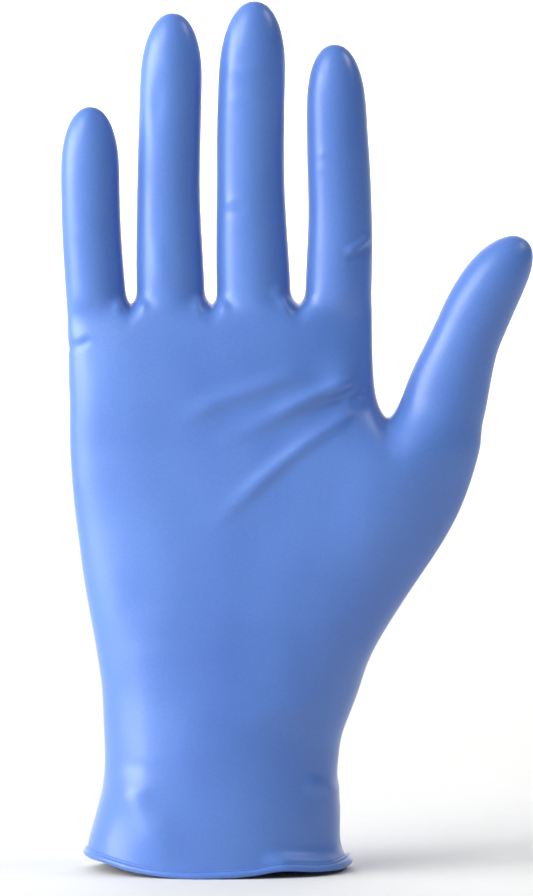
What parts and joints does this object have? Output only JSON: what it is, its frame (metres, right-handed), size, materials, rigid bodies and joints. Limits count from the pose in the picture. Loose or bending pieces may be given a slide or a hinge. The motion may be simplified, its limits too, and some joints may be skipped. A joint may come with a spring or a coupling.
{
  "type": "disposable glove",
  "caption": "Thin film examination glove with a beaded cuff, standing open on its rim, with bending wrist, fingers and thumb.",
  "frame": {"origin": "middle of the cuff's open mouth, at the level of the surface that the rim stands on", "axes": "+Z from the cuff to the fingertips, +X towards the thumb, -Y the palm side"},
  "size_m": [0.1283, 0.0524, 0.24],
  "materials": {
    "film": "semi-gloss, lightly textured",
    "rim": "semi-gloss, rolled"
  },
  "bodies": {
    "cuff": {"cuff_rim": "rim", "cuff": "film", "wrist_film": "film"},
    "palm": {"palm": "film", "little_finger_root": "film", "ring_finger_root": "film", "middle_finger_root": "film", "index_finger_root": "film", "thumb_root": "film"},
    "little_base": {"little_finger_base": "film", "little_finger_knuckle": "film"},
    "little_middle": {"little_finger_middle": "film", "little_finger_joint": "film"},
    "little_tip": {"little_finger_tip": "film"},
    "ring_base": {"ring_finger_base": "film", "ring_finger_knuckle": "film"},
    "ring_middle": {"ring_finger_middle": "film", "ring_finger_joint": "film"},
    "ring_tip": {"ring_finger_tip": "film"},
    "middle_base": {"middle_finger_base": "film", "middle_finger_knuckle": "film"},
    "middle_middle": {"middle_finger_middle": "film", "middle_finger_joint": "film"},
    "middle_tip": {"middle_finger_tip": "film"},
    "index_base": {"index_finger_base": "film", "index_finger_knuckle": "film"},
    "index_middle": {"index_finger_middle": "film", "index_finger_joint": "film"},
    "index_tip": {"index_finger_tip": "film"},
    "thumb_base": {"thumb_base": "film", "thumb_joint": "film"},
    "thumb_tip": {"thumb_tip": "film"}
  },
  "joints": [
    {"name": "wrist_bend", "type": "hinge", "parent": "cuff", "child": "palm", "pos_m": [0, 0, 0.055], "axis": [1, 0, 0], "range_deg": [-35, 35], "deforming": ["wrist_film"]},
    {"name": "little_root", "type": "hinge", "parent": "palm", "child": "little_base", "pos_m": [-0.0336, 0, 0.16354], "axis": [1, 0, 0], "range_deg": [-15, 60], "deforming": ["little_finger_root"]},
    {"name": "little_knuckle", "type": "hinge", "parent": "little_base", "child": "little_middle", "pos_m": [-0.0336, 0, 0.1785], "axis": [1, 0, 0], "range_deg": [0, 75], "deforming": ["little_finger_knuckle"]},
    {"name": "little_end_joint", "type": "hinge", "parent": "little_middle", "child": "little_tip", "pos_m": [-0.0354, 0, 0.1955], "axis": [1, 0, 0], "range_deg": [0, 45], "deforming": ["little_finger_joint"]},
    {"name": "ring_root", "type": "hinge", "parent": "palm", "child": "ring_base", "pos_m": [-0.0129, 0, 0.16395], "axis": [1, 0, 0], "range_deg": [-15, 60], "deforming": ["ring_finger_root"]},
    {"name": "ring_knuckle", "type": "hinge", "parent": "ring_base", "child": "ring_middle", "pos_m": [-0.0129, 0, 0.185], "axis": [1, 0, 0], "range_deg": [0, 75], "deforming": ["ring_finger_knuckle"]},
    {"name": "ring_end_joint", "type": "hinge", "parent": "ring_middle", "child": "ring_tip", "pos_m": [-0.0129, 0, 0.2095], "axis": [1, 0, 0], "range_deg": [0, 45], "deforming": ["ring_finger_joint"]},
    {"name": "middle_root", "type": "hinge", "parent": "palm", "child": "middle_base", "pos_m": [0.0098, 0, 0.16412], "axis": [1, 0, 0], "range_deg": [-15, 60], "deforming": ["middle_finger_root"]},
    {"name": "middle_knuckle", "type": "hinge", "parent": "middle_base", "child": "middle_middle", "pos_m": [0.0098, 0, 0.186], "axis": [1, 0, 0], "range_deg": [0, 75], "deforming": ["middle_finger_knuckle"]},
    {"name": "middle_end_joint", "type": "hinge", "parent": "middle_middle", "child": "middle_tip", "pos_m": [0.0102, 0, 0.212], "axis": [1, 0, 0], "range_deg": [0, 45], "deforming": ["middle_finger_joint"]},
    {"name": "index_root", "type": "hinge", "parent": "palm", "child": "index_base", "pos_m": [0.0332, 0, 0.164], "axis": [1, 0, 0], "range_deg": [-15, 60], "deforming": ["index_finger_root"]},
    {"name": "index_knuckle", "type": "hinge", "parent": "index_base", "child": "index_middle", "pos_m": [0.0332, 0, 0.183], "axis": [1, 0, 0], "range_deg": [0, 75], "deforming": ["index_finger_knuckle"]},
    {"name": "index_end_joint", "type": "hinge", "parent": "index_middle", "child": "index_tip", "pos_m": [0.0324, 0, 0.205], "axis": [1, 0, 0], "range_deg": [0, 45], "deforming": ["index_finger_joint"]},
    {"name": "thumb_root_bend", "type": "hinge", "parent": "palm", "child": "thumb_base", "pos_m": [0.06209, 0, 0.13118], "axis": [0.9272, 0, -0.3746], "range_deg": [-10, 50], "deforming": ["thumb_root"]},
    {"name": "thumb_end_bend", "type": "hinge", "parent": "thumb_base", "child": "thumb_tip", "pos_m": [0.07089, 0, 0.15296], "axis": [0.9272, 0, -0.3746], "range_deg": [0, 50], "deforming": ["thumb_joint"]}
  ],
  "couplings": [
    {"joint": "little_end_joint", "follows": "little_knuckle", "ratio": 0.6},
    {"joint": "ring_end_joint", "follows": "ring_knuckle", "ratio": 0.6},
    {"joint": "middle_end_joint", "follows": "middle_knuckle", "ratio": 0.6},
    {"joint": "index_end_joint", "follows": "index_knuckle", "ratio": 0.6}
  ]
}
